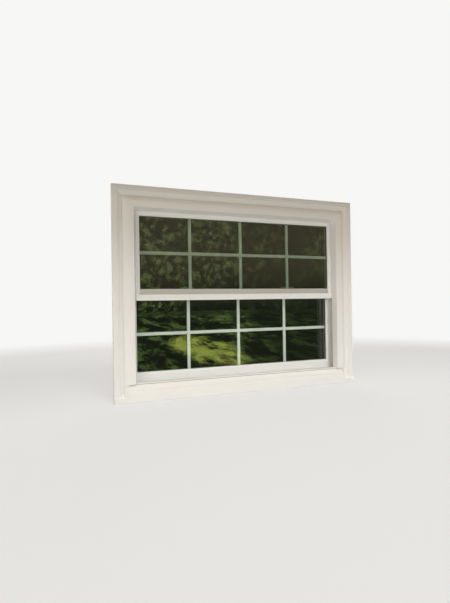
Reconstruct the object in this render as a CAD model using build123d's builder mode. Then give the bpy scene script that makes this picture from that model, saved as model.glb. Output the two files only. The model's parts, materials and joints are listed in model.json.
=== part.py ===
from build123d import *
import os
from math import cos, radians, sin

os.makedirs("parts", exist_ok=True)

# Sash window with its frame and casing, in millimetres.
# X runs to the right seen from outside, Y runs into the wall and Z runs up.
# X = 0 is the middle, Y = 0 the face of the wall and Z = 0 the underside of the frame.

# Frame
FRAME_WIDTH = 1306.0
FRAME_HEIGHT = 976.0
FRAME_PROUD = 23.5         # how far the frame's face stands out of the wall
FRAME_DEPTH = 128.5        # from the frame's face to its inner edge
FACE_WIDTH = 55.0          # face before the bevelled leg
SHOULDER_WIDTH = 30.0      # rounded outer part of the frame's face
SHOULDER_FALL = 11.0
SHOULDER_MIDDLE = (14.0, 2.8)  # on the rounding, from the frame's edge and behind its face
LEG_REACH = 66.5           # inward reach of the outer leg
LEG_FALL = 30.5            # how far the leg's bevel falls back
LEG_THICKNESS = 2.5
JAMB_FLOOR = 28.0          # thickness of the jamb under the sashes' tracks
HEAD_FLOOR = 40.0          # thickness of the head above the upper sash
INNER_LEG_REACH = 52.0
LEG_EDGE = 2.0             # bevel on the inner leg's corner
PARTING_THICKNESS = 3.0
PARTING_HEIGHT = 22.0      # the fin between the tracks
WALL = 3.0                 # walls around the hollow chambers

# Sill
SILL_FLOOR = 27.7          # where the lower sash seats
SILL_FRONT_SET = 15.5      # the sill's front behind the frame's face
SILL_LIP_FOOT = 33.0       # underside of the lip that stands before the sashes
SILL_LIP = 42.0            # top of that lip
SILL_LIP_SET = 12.5        # the lip's front behind the frame's face
SILL_FALL = 4.0            # fall of the outer track's floor towards the outside
SILL_PARTING = 33.0
SILL_STEP = 3.0            # step under the sill's front, which the nosing fills

# Balance pockets in the jambs
POCKET_BACK = 5.5          # wall behind a pocket
POCKET_DEPTH = 20.0
POCKET_WIDTH = 22.0
SLOT_WIDTH = 12.0

# Fixing holes through the jambs
FIXING_RADIUS = 2.6
FIXING_HEAD_RADIUS = 4.6
FIXING_SPACING = 600.0
FIXING_BEFORE_FIN = 5.0    # from the parting fin towards the outside

# Casing
CASING_REACH = 52.0        # beyond the frame's edge
CASING_DEPTH = 25.0
CASING_STEPS = [(0.0, 1.0), (1.0, 0.0), (16.0, 0.0), (17.5, 1.2), (26.0, 1.2)]
COVE_MIDDLE = (37.5, 9.0)  # from the casing's outer edge, and behind its front
COVE_END = (50.0, 13.5)
QUIRK = 2.5                # groove between the cove and the frame
NOSING_PROUD = 6.0         # in front of the casing
NOSING_OFF = 2.0           # from the wall to the nosing's back
NOSING_BOARD = 24.5        # height of the board that the casing stands on
BOARD_RISE = 0.85          # rise of the board's top for each step back
NOSING_FACE = 43.7
SLOPE_MIDDLE = 60.0        # height at which the nosing's slope turns from round to hollow
NOSING_EDGE = 2.0          # bevel under its front
NOSING_END = 15.0          # from the frame's edge to the end of the slope

# Sashes
SASH_DEPTH = 38.0
SASH_GAP = 6.0             # between the two sashes
LEG_GAP = 3.5              # between a sash and the leg that keeps it in its track
SIDE_GAP = 4.0             # between a sash's edge and the jamb
HEAD_GAP = 4.0
SEAT_GAP = 0.3
MEETING_TOP = 512.0        # top of both meeting rails
UPPER_STILE = 44.0
LOWER_STILE = 32.0
TOP_RAIL = 33.0
BOTTOM_RAIL = 41.0
LOCK_RAIL = 25.0
STRIP_HEIGHT = 31.0        # the meeting rail's flat strip, seen from outside
STRIP_PROUD = 5.0
BAND_HEIGHT = 28.0         # the ribbed bead above it
BAND_SET_BACK = 1.5
BAND_SET_IN = 6.0          # back of the ribbed bead, from the sash's face
STRIP_EDGE = 1.5           # bevel along the strip's top
BAND_BEVEL = 5.0
RIB_GROOVE = 1.3
RIB_PITCH = 7.0
RIB_COUNT = 3
NOTCH_PLACE = 13.0         # upright notches near the ribbed bead's ends
NOTCH_WIDTH = 3.0
NOSE_CLEAR = 2.0           # between the strip's ends and the legs
SHELF_BEVEL = 4.0
LOCK_CHAMBER_COVER = 10.0  # solid top of the lock rail

# Glass units
PANE = 3.0
AIR_SPACE = 12.0
BEAD_WIDTH = 13.0
BEAD_DEPTH = 11.0          # from the sash's face to the glass
BEAD_FALL = 5.5
BEAD_LAND = 1.5            # flat front before the bead falls back
BITE = 10.0                # glass behind the bead
SPACER_WIDTH = 9.5
BAR_WIDTH = 17.0
BAR_THICKNESS = 6.0
BAR_PITCH = 293.8
BAR_EDGE = 1.2

# Interlock between the meeting rails
FIN = 1.2
FIN_CLEAR = 0.7
INTERLOCK_LAP = 18.0
INTERLOCK_ROOM = 4.5
INTERLOCK_RISE = 8.0       # the lower web above the lock rail's underside

# Weatherstrips
PILE_WIDTH = 4.6
PILE_SET_IN = 2.2
PILE_FROM_EDGE = 8.0
PILE_GAP = 0.3

# Balances
TUBE_RADIUS = 4.75
TUBE_BORE = 3.75
TUBE_TOP = 61.0            # below the frame's top
PLUG_HEIGHT = 20.0
ROD_WIDTH = 6.2
ROD_THICKNESS = 1.6
ROD_ENGAGED = 25.0         # rod left in its tube at the far end of the travel
ROD_ROOM = 12.0            # between a rod's top and its plug
ROD_TWIST = 80.0           # length of one full turn
SHOE_HEIGHT = 45.0
SHOE_BELOW_BAR = 7.5
SHOE_CLEAR = 0.3
TUBE_CLEAR = 5.0
PLUG_EXTRA = 0.75
SCREW_TIP = 1.5            # screw's tip from the jamb's outer side
SCREW_RADIUS = 1.75
SCREW_HEAD_RADIUS = 3.3
SCREW_HEAD = 2.0
PIVOT_WIDTH = 10.0
PIVOT_THICKNESS = 5.0
PIVOT_ABOVE_EDGE = 12.5
PIVOT_IN_SHOE = 16.0
PIVOT_IN_SASH = 30.0
FIT = 0.2

# Tilt latches
LATCH_WIDTH = 16.0
LATCH_THICKNESS = 6.0
LATCH_LENGTH = 56.0
LATCH_THROW = 10.0
LATCH_SET = 6.0            # from the sash's edge to the latch's body
LATCH_PLAY = 2.0           # channel left behind a drawn latch
NOSE_TAPER = 4.0
NOSE_EDGE = 2.0
NOSE_WIDTH = 10.0
BUTTON_LENGTH = 16.0
BUTTON_HEIGHT = 2.4

# Sash locks
LOCK_PLACE = 310.0         # from the window's middle
LOCK_PIVOT_SET = 15.0      # from the lock rail's outer face
LOCK_HEIGHT = 11.0
LOCK_WALL = 2.0
HOUSING_ROUND = 4.0
HOUSING_EDGE = 1.8
LEVER_EDGE = 1.2
SMALL_ROUND = 2.0          # corners of the keepers, shoes and latch buttons
CAM_RADIUS = 29.0
CAM_RIM = 3.2
CAM_THICKNESS = 4.0
CAM_LIFT = 2.4             # above the rail
CAM_HUB = 6.0
SPINDLE = 3.5
SPINDLE_FIT = 0.05
CAM_SWING = 82.0
LEVER_LENGTH = 32.0
LEVER_THICKNESS = 4.0
KEEPER_PLATE = 1.6
KEEPER_LENGTH = 52.0
KEEPER_POST = 10.0
KEEPER_POST_HEIGHT = 8.0
LIFT_LENGTH = 1000.0
LIFT_REACH = 14.0
LIFT_LEVEL = 62.0
LIFT_LIP = 8.0
LIFT_THICKNESS = 3.0
LOCK_FRONT = 2.0           # housing's front behind the lock rail's outer face
LOCK_WIDTH = 33.0
LOCK_END = 7.0
LOCK_SCREW_NEAR = 15.0
LOCK_SCREW_FAR = 39.0
LOCK_SCREW_SET = 3.5
LOCK_SCREW_REACH = 8.0     # into the lock rail
CAM_ROOM = 1.0             # above the cam in its housing
CRESCENT_START = -30.0
CRESCENT_SWEEP = 55.0
ARM_BACK = 3.0
ARM_WIDTH = 7.0
KEEPER_CLEAR = 0.8
KEEPER_WIDTH = 8.6

LONG = 2000.0              # longer than any member, for cutting

HALF_WIDTH = FRAME_WIDTH / 2
FACE = -FRAME_PROUD
BACK = FACE + FRAME_DEPTH
SILL_FRONT = FACE + SILL_FRONT_SET
LIP_FRONT = FACE + SILL_LIP_SET
LEG_TIP = FACE + LEG_FALL
LEG_BACK = LEG_TIP + LEG_THICKNESS
UPPER_FACE = LEG_BACK + LEG_GAP
LOWER_FACE = UPPER_FACE + SASH_DEPTH + SASH_GAP
INNER_LEG = LOWER_FACE + SASH_DEPTH + LEG_GAP
PARTING_Y = (UPPER_FACE + SASH_DEPTH + LOWER_FACE - PARTING_THICKNESS) / 2
UPPER_MIDDLE = UPPER_FACE + SASH_DEPTH / 2
LOWER_MIDDLE = LOWER_FACE + SASH_DEPTH / 2
UNIT = 2 * PANE + AIR_SPACE
SASH_EDGE = JAMB_FLOOR + SIDE_GAP
SASH_HALF = HALF_WIDTH - SASH_EDGE
UPPER_TOP = FRAME_HEIGHT - HEAD_FLOOR - HEAD_GAP
UPPER_BOTTOM = MEETING_TOP - BAND_HEIGHT - STRIP_HEIGHT
LOWER_BOTTOM = SILL_FLOOR + SEAT_GAP
STRIP_TOP = UPPER_BOTTOM + STRIP_HEIGHT
UPPER_SHOE_TOP = UPPER_BOTTOM + PIVOT_ABOVE_EDGE - SHOE_BELOW_BAR + SHOE_HEIGHT
HIGHEST_ROD = FRAME_HEIGHT - TUBE_TOP - PLUG_HEIGHT - ROD_ROOM
TRAVEL = HIGHEST_ROD - UPPER_SHOE_TOP - TUBE_CLEAR - ROD_ENGAGED
ROD_LENGTH = TRAVEL + TUBE_CLEAR + ROD_ENGAGED

SIDES = ("left", "right")


def keep(piece, name):
    """Label a finished piece and write it out."""
    piece.part.label = name
    export_step(piece.part, f"parts/{name}.step")


def across(edge, points):
    """Turn (inward, depth) points into sketch points for a member along one edge of the frame."""
    if edge == "left":
        return [(inward - HALF_WIDTH, depth) for inward, depth in points]
    if edge == "right":
        return [(HALF_WIDTH - inward, depth) for inward, depth in points]
    if edge == "top":
        return [(depth, FRAME_HEIGHT - inward) for inward, depth in points]
    return [(depth, inward) for inward, depth in points]


def plane_across(edge):
    """The plane that a member's section is drawn on."""
    return Plane.XY if edge in SIDES else Plane.YZ


def box_points(low_a, low_b, high_a, high_b):
    """The four corners of a rectangle."""
    return [(low_a, low_b), (high_a, low_b), (high_a, high_b), (low_a, high_b)]


def member(edge, section, outline, hollows=(), hollow_span=(-LONG, LONG), rounding=None):
    """A straight member: a section run along one edge, cut to its outline seen from the front."""
    start, end = hollow_span
    corners = across(edge, section)
    with BuildPart() as piece:
        with BuildSketch(plane_across(edge)):
            if rounding:
                with BuildLine():
                    ThreePointArc(corners[0], across(edge, [rounding])[0], corners[1])
                    Polyline(*corners[1:], corners[0])
                make_face()
            else:
                Polygon(*corners)
        extrude(amount=LONG, both=True)
        with BuildSketch(Plane.XZ):
            Polygon(*outline)
        extrude(amount=LONG, both=True, mode=Mode.INTERSECT)
        for hollow in hollows:
            with BuildSketch(plane_across(edge).offset(start)):
                Polygon(*across(edge, hollow))
            extrude(amount=end - start, mode=Mode.SUBTRACT)
    return piece


def mirrored(points, side):
    """Outline points given for the right side, moved to the side that is asked for."""
    sign = 1 if side == "right" else -1
    return [(sign * x, z) for x, z in points]


def sign_of(side):
    return 1 if side == "right" else -1


# Frame

SILL_SECTION = [
    (0, -NOSING_OFF), (SILL_STEP, -NOSING_OFF), (SILL_STEP, SILL_FRONT), (SILL_LIP_FOOT, SILL_FRONT),
    (SILL_LIP_FOOT, LIP_FRONT), (SILL_LIP, LIP_FRONT), (SILL_LIP, LEG_BACK),
    (SILL_FLOOR - SILL_FALL, LEG_BACK), (SILL_FLOOR, PARTING_Y), (SILL_PARTING, PARTING_Y),
    (SILL_PARTING, PARTING_Y + PARTING_THICKNESS), (SILL_FLOOR, PARTING_Y + PARTING_THICKNESS),
    (SILL_FLOOR, INNER_LEG), (INNER_LEG_REACH, INNER_LEG), (INNER_LEG_REACH, BACK - LEG_EDGE),
    (INNER_LEG_REACH - LEG_EDGE, BACK), (0, BACK),
]


def tracks_section(floor):
    """Section of the head or a jamb: face, bevelled leg, two tracks with a fin between, inner leg."""
    fin_top = floor + PARTING_HEIGHT
    return [
        (0, FACE + SHOULDER_FALL), (SHOULDER_WIDTH, FACE), (FACE_WIDTH, FACE), (LEG_REACH, LEG_TIP),
        (LEG_REACH, LEG_BACK), (floor, LEG_BACK),
        (floor, PARTING_Y), (fin_top, PARTING_Y), (fin_top, PARTING_Y + PARTING_THICKNESS),
        (floor, PARTING_Y + PARTING_THICKNESS), (floor, INNER_LEG), (INNER_LEG_REACH, INNER_LEG),
        (INNER_LEG_REACH, BACK - LEG_EDGE), (INNER_LEG_REACH - LEG_EDGE, BACK), (0, BACK),
    ]


def pocket(middle):
    """A balance pocket and the slot that opens it to the sash, cut from the open part."""
    back_face = POCKET_BACK + POCKET_DEPTH
    return [
        (POCKET_BACK, middle - POCKET_WIDTH / 2), (back_face, middle - POCKET_WIDTH / 2),
        (back_face, middle - SLOT_WIDTH / 2), (JAMB_FLOOR + 1, middle - SLOT_WIDTH / 2),
        (JAMB_FLOOR + 1, middle + SLOT_WIDTH / 2), (back_face, middle + SLOT_WIDTH / 2),
        (back_face, middle + POCKET_WIDTH / 2), (POCKET_BACK, middle + POCKET_WIDTH / 2),
    ]


MITRE_REACH = LEG_REACH + PARTING_HEIGHT
HEAD_OUTLINE = [
    (-HALF_WIDTH, FRAME_HEIGHT), (HALF_WIDTH, FRAME_HEIGHT),
    (HALF_WIDTH - MITRE_REACH, FRAME_HEIGHT - MITRE_REACH),
    (-HALF_WIDTH + MITRE_REACH, FRAME_HEIGHT - MITRE_REACH),
]
JAMB_OUTLINE = [
    (HALF_WIDTH, SILL_STEP), (HALF_WIDTH, FRAME_HEIGHT),
    (HALF_WIDTH - MITRE_REACH, FRAME_HEIGHT - MITRE_REACH), (HALF_WIDTH - MITRE_REACH, SILL_STEP),
]
FACE_CHAMBER = box_points(WALL, FACE + SHOULDER_FALL + WALL, FACE_WIDTH - WALL, LEG_BACK - WALL)
FACE_ROUNDING = (SHOULDER_MIDDLE[0], FACE + SHOULDER_MIDDLE[1])

head = member(
    "top", tracks_section(HEAD_FLOOR), HEAD_OUTLINE,
    [
        FACE_CHAMBER,
        box_points(WALL, LEG_BACK, HEAD_FLOOR - WALL, PARTING_Y - WALL),
        box_points(WALL, PARTING_Y + WALL, HEAD_FLOOR - WALL, BACK - WALL),
    ],
    rounding=FACE_ROUNDING,
)
keep(head, "frame_head")

with BuildPart() as frame_sill:
    with BuildSketch(Plane.YZ):
        Polygon(*across("bottom", SILL_SECTION))
    extrude(amount=HALF_WIDTH, both=True)
    with BuildSketch(Plane.YZ):
        Polygon(*box_points(SILL_FRONT + WALL, SILL_STEP + WALL, LEG_BACK - WALL, SILL_LIP - WALL))
        Polygon(*across("bottom", box_points(WALL, LEG_BACK + WALL, SILL_FLOOR - 2 * WALL, PARTING_Y)))
        Polygon(*across("bottom", box_points(WALL, PARTING_Y + WALL, SILL_FLOOR - WALL, BACK - WALL)))
    extrude(amount=HALF_WIDTH - WALL, both=True, mode=Mode.SUBTRACT)
keep(frame_sill, "frame_sill")

FIXING_Y = PARTING_Y - FIXING_BEFORE_FIN


def jamb(side):
    """One jamb, coped onto the sill, with its balance pockets, fixing holes and screw pilots."""
    sign = sign_of(side)
    fixing_x = sign * (HALF_WIDTH - JAMB_FLOOR)
    inward = Plane(origin=(fixing_x, 0, 0), x_dir=(0, 1, 0), z_dir=(-sign, 0, 0))
    middles = (UPPER_MIDDLE, LOWER_MIDDLE)
    blank = member(
        side, tracks_section(JAMB_FLOOR), mirrored(JAMB_OUTLINE, side),
        [FACE_CHAMBER, pocket(UPPER_MIDDLE), pocket(LOWER_MIDDLE)], (SILL_LIP, LONG), FACE_ROUNDING,
    )
    with BuildPart() as piece:
        add(blank.part)
        with BuildSketch(Plane.XY.offset(SILL_PARTING)):
            for middle in middles:
                Polygon(*across(side, pocket(middle)))
        extrude(amount=SILL_LIP - SILL_PARTING, mode=Mode.SUBTRACT)
        with BuildSketch(Plane.YZ):
            Polygon(*across("bottom", SILL_SECTION))
            Polygon(*box_points(FACE - 1, 0, SILL_FRONT, SILL_LIP_FOOT))
        extrude(amount=LONG, both=True, mode=Mode.SUBTRACT)
        fixing_spots = [
            inward.to_local_coords(Vector(fixing_x, FIXING_Y, FRAME_HEIGHT / 2 + step * FIXING_SPACING / 2))
            for step in (-1, 1)
        ]
        with Locations(*[inward * Location(spot) for spot in fixing_spots]):
            CounterSinkHole(FIXING_RADIUS, FIXING_HEAD_RADIUS, depth=JAMB_FLOOR)
        plug_middle = FRAME_HEIGHT - TUBE_TOP - PLUG_HEIGHT / 2
        pilot_spots = [inward.to_local_coords(Vector(fixing_x, middle, plug_middle)) for middle in middles]
        with Locations(*[inward * Location(spot) for spot in pilot_spots]):
            Hole(SCREW_RADIUS, depth=JAMB_FLOOR - 1)
    return piece


for side in SIDES:
    keep(jamb(side), f"frame_jamb_{side}")


# Casing and nosing

CASING_FRONT = -CASING_DEPTH
NOSING_FRONT = CASING_FRONT - NOSING_PROUD
NOSING_BOTTOM = -CASING_REACH
BOARD_TOP = NOSING_BOTTOM + NOSING_BOARD
BOARD_BACK = BOARD_TOP + BOARD_RISE * (-NOSING_OFF - NOSING_FRONT)
SLOPE_START = (NOSING_FRONT, NOSING_BOTTOM + NOSING_FACE)
SLOPE_TURN = ((NOSING_FRONT + LIP_FRONT) / 2, NOSING_BOTTOM + SLOPE_MIDDLE)
SLOPE_END = (LIP_FRONT, SILL_LIP_FOOT)

with BuildPart() as sill_nosing:
    with BuildSketch(Plane.YZ):
        Polygon(
            (NOSING_FRONT + NOSING_EDGE, NOSING_BOTTOM), (NOSING_FRONT, NOSING_BOTTOM + NOSING_EDGE),
            (NOSING_FRONT, BOARD_TOP), (-NOSING_OFF, BOARD_BACK), (-NOSING_OFF, NOSING_BOTTOM),
        )
    extrude(amount=HALF_WIDTH + CASING_REACH, both=True)
    with BuildSketch(Plane.YZ):
        Polygon(
            (FACE, BOARD_TOP), (FACE, SILL_LIP_FOOT), (SILL_FRONT, SILL_LIP_FOOT), (SILL_FRONT, SILL_STEP),
            (-NOSING_OFF, SILL_STEP), (-NOSING_OFF, BOARD_TOP),
        )
    extrude(amount=HALF_WIDTH, both=True)
    # The middle stretch is cut back to the slope, which turns from round to hollow under the sill's lip.
    with BuildSketch(Plane.YZ):
        Polygon(*box_points(NOSING_FRONT, BOARD_TOP, LIP_FRONT, SILL_LIP_FOOT))
    extrude(amount=HALF_WIDTH - NOSING_END, both=True)
    with BuildSketch(Plane.YZ):
        with BuildLine():
            TangentArc(SLOPE_START, SLOPE_TURN, tangent=(0, 1))
            TangentArc(SLOPE_END, SLOPE_TURN, tangent=(0, -1))
            Polyline(
                SLOPE_START, (NOSING_FRONT - 1, SLOPE_START[1]), (NOSING_FRONT - 1, SILL_LIP_FOOT + 1),
                (LIP_FRONT, SILL_LIP_FOOT + 1), SLOPE_END,
            )
        make_face()
    extrude(amount=HALF_WIDTH - NOSING_END, both=True, mode=Mode.SUBTRACT)
keep(sill_nosing, "sill_nosing")


def casing_lines(edge):
    """The moulded section of the casing: a flat, a step, a cove and a quirk beside the frame."""
    def at(from_outside, behind):
        return across(edge, [(from_outside - CASING_REACH, CASING_FRONT + behind)])[0]

    quirk_start, cove_depth = COVE_END
    Line(at(0, CASING_DEPTH), at(*CASING_STEPS[0]))
    for start, end in zip(CASING_STEPS, CASING_STEPS[1:]):
        Line(at(*start), at(*end))
    ThreePointArc(at(*CASING_STEPS[-1]), at(*COVE_MIDDLE), at(*COVE_END))
    Line(at(*COVE_END), at(quirk_start, cove_depth + QUIRK))
    Line(at(quirk_start, cove_depth + QUIRK), at(CASING_REACH, cove_depth + QUIRK))
    Line(at(CASING_REACH, cove_depth + QUIRK), at(CASING_REACH, CASING_DEPTH))
    Line(at(CASING_REACH, CASING_DEPTH), at(0, CASING_DEPTH))


def casing(edge, outline):
    """One length of casing, mitred at the top corners and cut to the nosing's sloping board."""
    with BuildPart() as piece:
        with BuildSketch(plane_across(edge)):
            with BuildLine():
                casing_lines(edge)
            make_face()
        extrude(amount=LONG, both=True)
        with BuildSketch(Plane.XZ):
            Polygon(*outline)
        extrude(amount=LONG, both=True, mode=Mode.INTERSECT)
        with BuildSketch(Plane.YZ):
            Polygon(
                (NOSING_FRONT, NOSING_BOTTOM), (NOSING_FRONT, BOARD_TOP),
                (0, BOARD_TOP - BOARD_RISE * NOSING_FRONT), (0, NOSING_BOTTOM),
            )
        extrude(amount=LONG, both=True, mode=Mode.SUBTRACT)
    return piece


outer_x = HALF_WIDTH + CASING_REACH
outer_z = FRAME_HEIGHT + CASING_REACH
head_outline = [
    (-outer_x, outer_z), (outer_x, outer_z), (HALF_WIDTH, FRAME_HEIGHT), (-HALF_WIDTH, FRAME_HEIGHT),
]
side_outline = [(outer_x, BOARD_TOP), (outer_x, outer_z), (HALF_WIDTH, FRAME_HEIGHT), (HALF_WIDTH, BOARD_TOP)]
keep(casing("top", head_outline), "casing_head")
for side in SIDES:
    keep(casing(side, mirrored(side_outline, side)), f"casing_{side}")


# Sash members

def sash_section(face, edge_inset, flat, groove_front):
    """Section of a stile or rail: hollow body, rebate for the glass unit and bevelled inner leg."""
    shelf = face + BEAD_DEPTH + UNIT
    rear = face + SASH_DEPTH
    rebate = edge_inset + flat
    sight = rebate + BEAD_WIDTH
    pile = edge_inset + PILE_FROM_EDGE
    front_groove = [
        (pile, face), (pile, face + PILE_SET_IN), (pile + PILE_WIDTH, face + PILE_SET_IN),
        (pile + PILE_WIDTH, face),
    ]
    rear_groove = [
        (pile + PILE_WIDTH, rear), (pile + PILE_WIDTH, rear - PILE_SET_IN), (pile, rear - PILE_SET_IN),
        (pile, rear),
    ]
    return (
        [(edge_inset, face)] + (front_groove if groove_front else [])
        + [(rebate, face), (rebate, shelf), (sight, shelf)]
        + [(sight, rear - SHELF_BEVEL), (sight - SHELF_BEVEL, rear)]
        + ([] if groove_front else rear_groove) + [(edge_inset, rear)]
    )


def sash_chambers(face, edge_inset, flat):
    """Two hollow chambers in a sash member's body."""
    middle = face + SASH_DEPTH / 2
    near = face + PILE_SET_IN + WALL
    far = face + SASH_DEPTH - PILE_SET_IN - WALL
    low = edge_inset + WALL
    high = edge_inset + flat - WALL
    return [box_points(low, near, high, middle - WALL / 2), box_points(low, middle + WALL / 2, high, far)]


def cut_box(low, high):
    """Take a box, given by two corners, out of the open part."""
    sizes = [top - bottom for bottom, top in zip(low, high)]
    centre = [(bottom + top) / 2 for bottom, top in zip(low, high)]
    with Locations(tuple(centre)):
        Box(*sizes, mode=Mode.SUBTRACT)


def spread(side, inset_low, inset_high):
    """The X range, lowest first, between two insets from the frame's edge."""
    ends = [sign_of(side) * (HALF_WIDTH - inset) for inset in (inset_low, inset_high)]
    return min(ends), max(ends)


LATCH_INNER = SASH_EDGE + LATCH_SET + LATCH_LENGTH
LATCH_CHANNEL_END = LATCH_INNER + LATCH_THROW + LATCH_PLAY


def cut_latch_channel(side, middle, top):
    """The channel in a sash's top in which a tilt latch slides."""
    low_x, high_x = spread(side, SASH_EDGE - 1, LATCH_CHANNEL_END)
    half = LATCH_WIDTH / 2 + SEAT_GAP
    cut_box((low_x, middle - half, top - LATCH_THICKNESS - SEAT_GAP), (high_x, middle + half, top + 1))


def cut_pivot_slot(side, middle, bottom):
    """The slot in a sash's lower corner that takes the pivot bar."""
    low_x, high_x = spread(side, SASH_EDGE - 1, SASH_EDGE + PIVOT_IN_SASH)
    half_width = PIVOT_WIDTH / 2 + FIT
    half_height = PIVOT_THICKNESS / 2 + FIT
    level = bottom + PIVOT_ABOVE_EDGE
    cut_box(
        (low_x, middle - half_width, level - half_height),
        (high_x, middle + half_width, level + half_height),
    )


UPPER_FLAT = SASH_EDGE + UPPER_STILE
LOWER_FLAT = SASH_EDGE + LOWER_STILE
UPPER_SIGHT = UPPER_FLAT + BEAD_WIDTH
LOWER_SIGHT = LOWER_FLAT + BEAD_WIDTH
UPPER_FLAT_X = HALF_WIDTH - UPPER_FLAT
UPPER_SIGHT_X = HALF_WIDTH - UPPER_SIGHT
LOWER_FLAT_X = HALF_WIDTH - LOWER_FLAT
LOWER_SIGHT_X = HALF_WIDTH - LOWER_SIGHT
TOP_FLAT_Z = UPPER_TOP - TOP_RAIL
TOP_SIGHT_Z = TOP_FLAT_Z - BEAD_WIDTH
BOTTOM_FLAT_Z = LOWER_BOTTOM + BOTTOM_RAIL
BOTTOM_SIGHT_Z = BOTTOM_FLAT_Z + BEAD_WIDTH
LOCK_FLAT_Z = MEETING_TOP - LOCK_RAIL
LOCK_SIGHT_Z = LOCK_FLAT_Z - BEAD_WIDTH
END_WALL = 20.0

# Upper sash

upper_top_section = sash_section(UPPER_FACE, FRAME_HEIGHT - UPPER_TOP, TOP_RAIL, True)
upper_top_blank = member(
    "top", upper_top_section,
    [
        (-SASH_HALF, UPPER_TOP), (SASH_HALF, UPPER_TOP), (UPPER_FLAT_X, TOP_FLAT_Z),
        (UPPER_SIGHT_X, TOP_SIGHT_Z), (-UPPER_SIGHT_X, TOP_SIGHT_Z), (-UPPER_FLAT_X, TOP_FLAT_Z),
    ],
    sash_chambers(UPPER_FACE, FRAME_HEIGHT - UPPER_TOP + LATCH_THICKNESS, TOP_RAIL - LATCH_THICKNESS),
)
with BuildPart() as upper_top_rail:
    add(upper_top_blank.part)
    for side in SIDES:
        cut_latch_channel(side, UPPER_MIDDLE, UPPER_TOP)
keep(upper_top_rail, "upper_top_rail")

UPPER_STILE_OUTLINE = [
    (SASH_HALF, UPPER_BOTTOM), (SASH_HALF, UPPER_TOP), (UPPER_FLAT_X, TOP_FLAT_Z),
    (UPPER_SIGHT_X, TOP_SIGHT_Z), (UPPER_SIGHT_X, MEETING_TOP), (UPPER_FLAT_X, MEETING_TOP),
    (UPPER_FLAT_X, UPPER_BOTTOM),
]
LOWER_STILE_OUTLINE = [
    (SASH_HALF, LOWER_BOTTOM), (SASH_HALF, MEETING_TOP), (LOWER_FLAT_X, MEETING_TOP),
    (LOWER_FLAT_X, LOCK_SIGHT_Z), (LOWER_SIGHT_X, LOCK_SIGHT_Z), (LOWER_SIGHT_X, BOTTOM_SIGHT_Z),
    (LOWER_FLAT_X, BOTTOM_FLAT_Z),
]


def upper_stile(side):
    blank = member(
        side, sash_section(UPPER_FACE, SASH_EDGE, UPPER_STILE, True), mirrored(UPPER_STILE_OUTLINE, side),
        sash_chambers(UPPER_FACE, SASH_EDGE, UPPER_STILE), (UPPER_BOTTOM + END_WALL, UPPER_TOP - END_WALL),
    )
    with BuildPart() as piece:
        add(blank.part)
        cut_latch_channel(side, UPPER_MIDDLE, UPPER_TOP)
        cut_pivot_slot(side, UPPER_MIDDLE, UPPER_BOTTOM)
    return piece


def lower_stile(side):
    blank = member(
        side, sash_section(LOWER_FACE, SASH_EDGE, LOWER_STILE, False), mirrored(LOWER_STILE_OUTLINE, side),
        sash_chambers(LOWER_FACE, SASH_EDGE, LOWER_STILE), (LOWER_BOTTOM + END_WALL, MEETING_TOP - END_WALL),
    )
    with BuildPart() as piece:
        add(blank.part)
        cut_latch_channel(side, LOWER_MIDDLE, MEETING_TOP)
        cut_pivot_slot(side, LOWER_MIDDLE, LOWER_BOTTOM)
    return piece


for side in SIDES:
    keep(upper_stile(side), f"upper_stile_{side}")
    keep(lower_stile(side), f"lower_stile_{side}")

UPPER_GLASS = UPPER_FACE + BEAD_DEPTH
UPPER_SHELF = UPPER_GLASS + UNIT
UPPER_REAR = UPPER_FACE + SASH_DEPTH
LOWER_GLASS = LOWER_FACE + BEAD_DEPTH
LOWER_SHELF = LOWER_GLASS + UNIT
LOWER_REAR = LOWER_FACE + SASH_DEPTH
REBATE_Z = MEETING_TOP - BEAD_WIDTH
LOCK_CHAMBER_TOP = MEETING_TOP - LOCK_CHAMBER_COVER
BAND_FACE = UPPER_FACE + BAND_SET_BACK
BAND_BACK = UPPER_FACE + BAND_SET_IN
STRIP_FRONT = UPPER_FACE - STRIP_PROUD
LOWER_WEB = LOCK_FLAT_Z + INTERLOCK_RISE
UPPER_WEB = LOWER_WEB - INTERLOCK_LAP - 2 * INTERLOCK_ROOM
LIP_NEAR = UPPER_REAR + FIN_CLEAR
LIP_FAR = LIP_NEAR + FIN + FIN_CLEAR

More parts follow.
